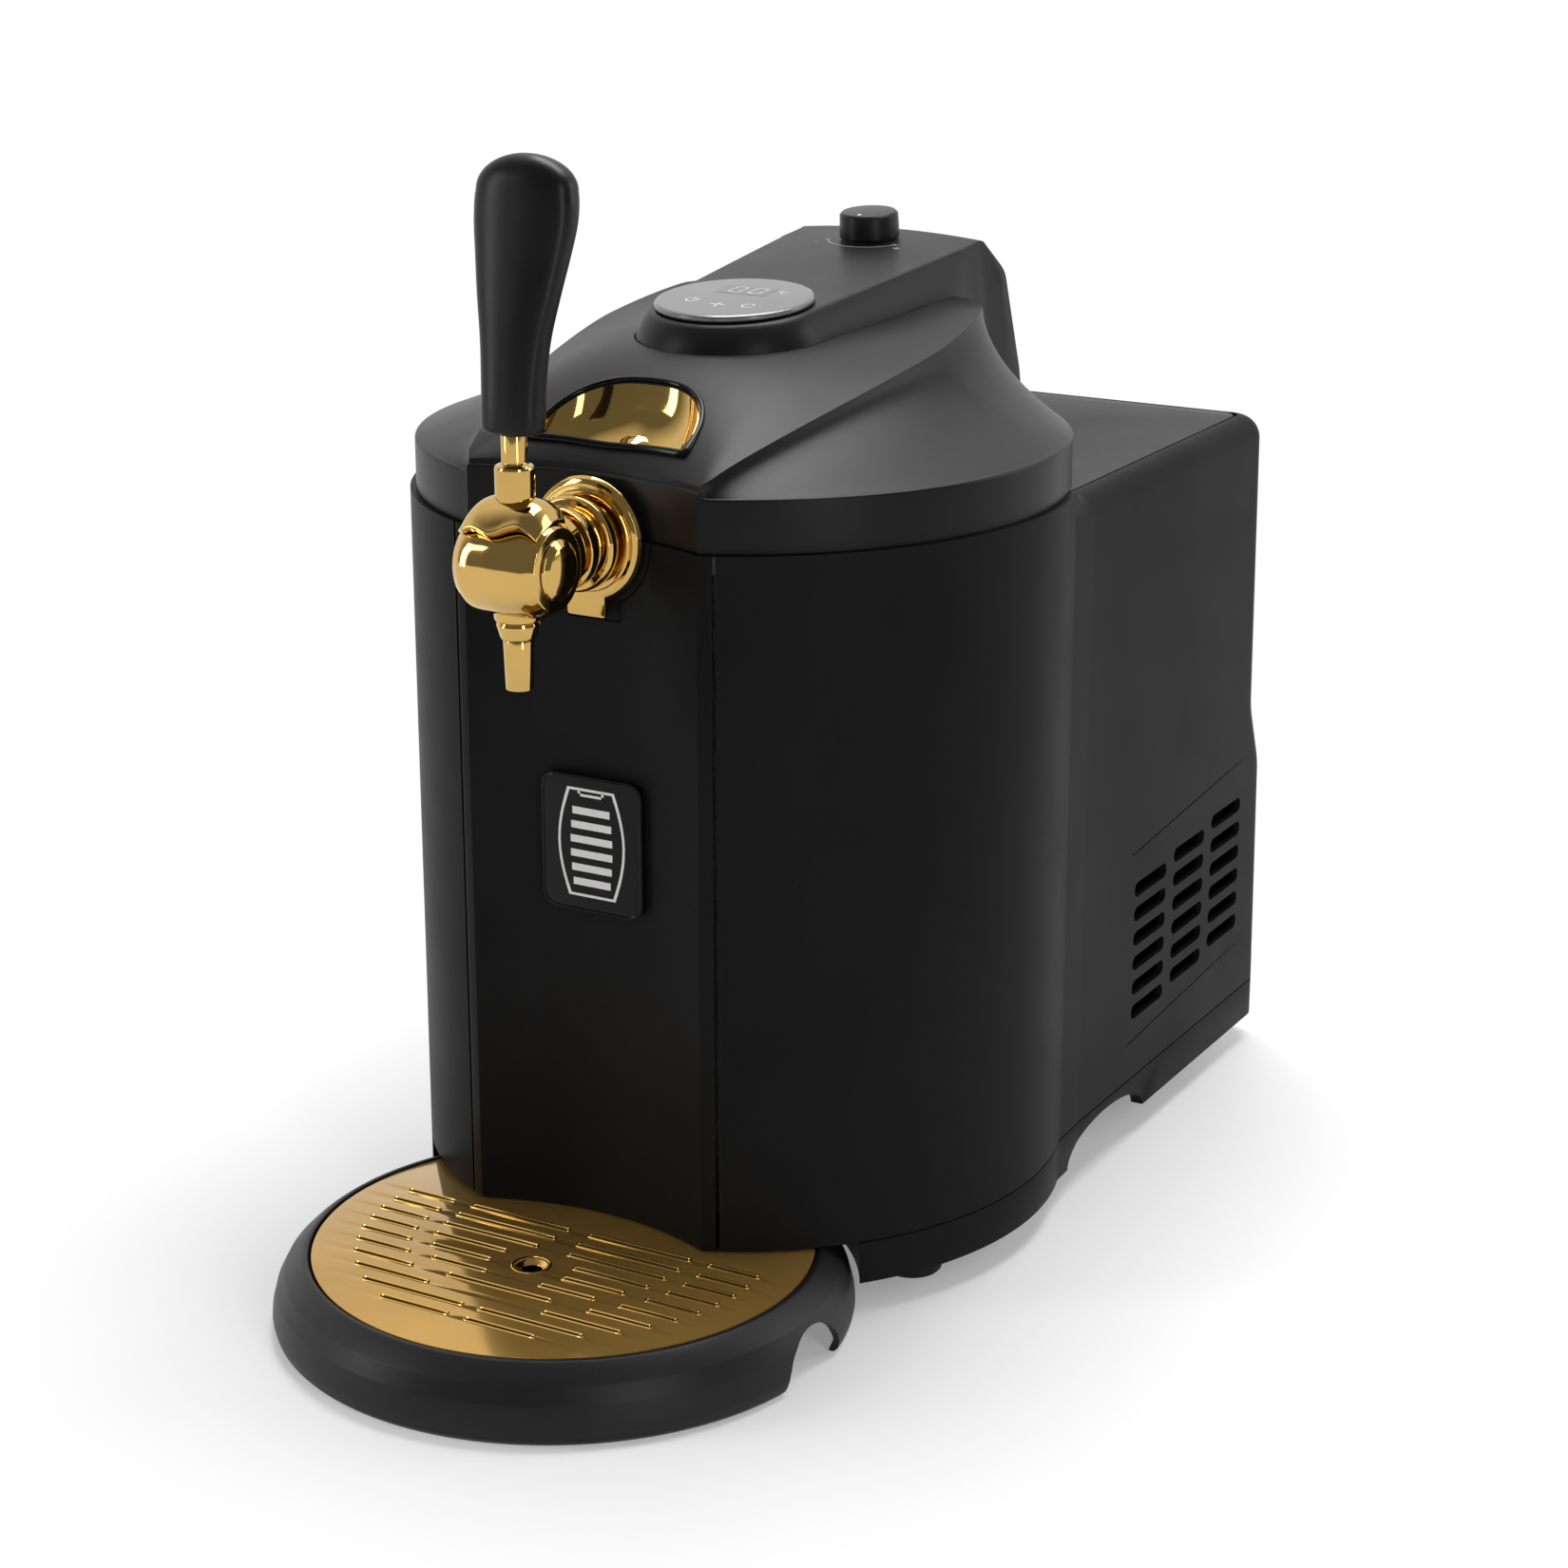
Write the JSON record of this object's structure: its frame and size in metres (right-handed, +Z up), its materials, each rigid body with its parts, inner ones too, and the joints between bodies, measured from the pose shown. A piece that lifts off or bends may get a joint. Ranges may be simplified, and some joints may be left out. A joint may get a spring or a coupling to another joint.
{
  "type": "mini keg beer dispenser",
  "caption": "Countertop mini keg beer dispenser with hinged domed lid, lever tap, display console, drip tray and thermoelectric cooling box behind.",
  "frame": {"origin": "centre of the footprint's bounding box, on the surface the dispenser stands on", "axes": "+Z up, front with the tap towards -Y, the user's right is +X"},
  "size_m": [0.2646, 0.5264, 0.4487],
  "materials": {
    "black_plastic": "moulded black plastic with a fine matte grain",
    "gloss_black": "polished black plastic",
    "gold_metal": "mirror gold plating",
    "plate_gold": "gold-brown mirror finish plate",
    "rubber_black": "black rubber",
    "foam_white": "rigid white foam",
    "liner_alu": "plain drawn aluminium",
    "steel": "zinc-bright steel",
    "grey_plastic": "grey moulded plastic",
    "display_glass": "glossy silver-grey display window",
    "board_green": "green circuit board",
    "white_ceramic": "white ceramic tile",
    "brass_part": "turned brass",
    "clear_hose": "clear soft hose"
  },
  "bodies": {
    "appliance": {"base_chassis": "black_plastic", "foot_front_left": "rubber_black", "foot_front_right": "rubber_black", "foot_rear_left": "rubber_black", "foot_rear_right": "rubber_black", "front_panel": "black_plastic", "side_shell_left": "black_plastic", "side_shell_right": "black_plastic", "rear_panel": "black_plastic", "rear_top_cover": "black_plastic", "chamber_collar": "grey_plastic", "chamber_liner": "liner_alu", "insulation_jacket": "foam_white", "cold_block": "liner_alu", "peltier_tile": "white_ceramic", "heat_sink": "liner_alu", "fan_frame": "black_plastic", "power_board": "board_green", "power_inlet": "black_plastic", "badge_plate": "gloss_black", "tap_flange": "gold_metal", "tap_shank": "gold_metal", "shank_nut": "steel", "tap_body": "gold_metal", "tap_end_cap_left": "gold_metal", "tap_end_cap_right": "gold_metal", "spout_collar": "gold_metal", "spout": "gold_metal", "beer_line": "clear_hose", "hinge_bracket_left": "steel", "hinge_bracket_right": "steel", "hinge_pin": "steel", "rear_screw_low_left": "steel", "rear_screw_low_right": "steel", "rear_screw_high_left": "steel", "rear_screw_high_right": "steel"},
    "tap_lever": {"lever_hood": "gold_metal", "lever_stem": "gold_metal", "handle_grip": "black_plastic"},
    "lid": {"lid_shell": "black_plastic", "lid_liner": "grey_plastic", "lid_seal": "rubber_black", "finger_cup": "gold_metal", "recess_bezel": "black_plastic", "console_pod": "black_plastic", "display_disc": "display_glass", "control_board": "board_green", "pressure_regulator": "brass_part", "co2_cartridge": "steel", "cartridge_cradle": "grey_plastic", "gas_line": "clear_hose", "cartridge_line": "clear_hose", "keg_coupler": "grey_plastic"},
    "pressure_knob": {"pressure_knob": "gloss_black"},
    "fan_rotor": {"fan_rotor": "grey_plastic"},
    "drip_tray": {"drip_tray": "black_plastic", "drip_grille": "plate_gold"}
  },
  "joints": [
    {"name": "lid_hinge", "type": "hinge", "parent": "appliance", "child": "lid", "pos_m": [0, 0.13762, 0.316], "axis": [-1, 0, 0], "range_deg": [0, 85]},
    {"name": "tap_lever", "type": "hinge", "parent": "appliance", "child": "tap_lever", "pos_m": [0, -0.17137, 0.3037], "axis": [1, 0, 0], "range_deg": [0, 40]},
    {"name": "pressure_knob_turn", "type": "hinge", "parent": "lid", "child": "pressure_knob", "pos_m": [0, 0.09463, 0.3875], "axis": [0, -0.0853, 0.9964], "range_deg": [0, 270]},
    {"name": "fan_spin", "type": "hinge", "parent": "appliance", "child": "fan_rotor", "pos_m": [0, 0.15948, 0.218], "axis": [0, 1, 0], "continuous": true},
    {"name": "tray_slide", "type": "slide", "parent": "appliance", "child": "drip_tray", "axis": [0, -1, 0], "range_m": [0, 0.11]}
  ]
}
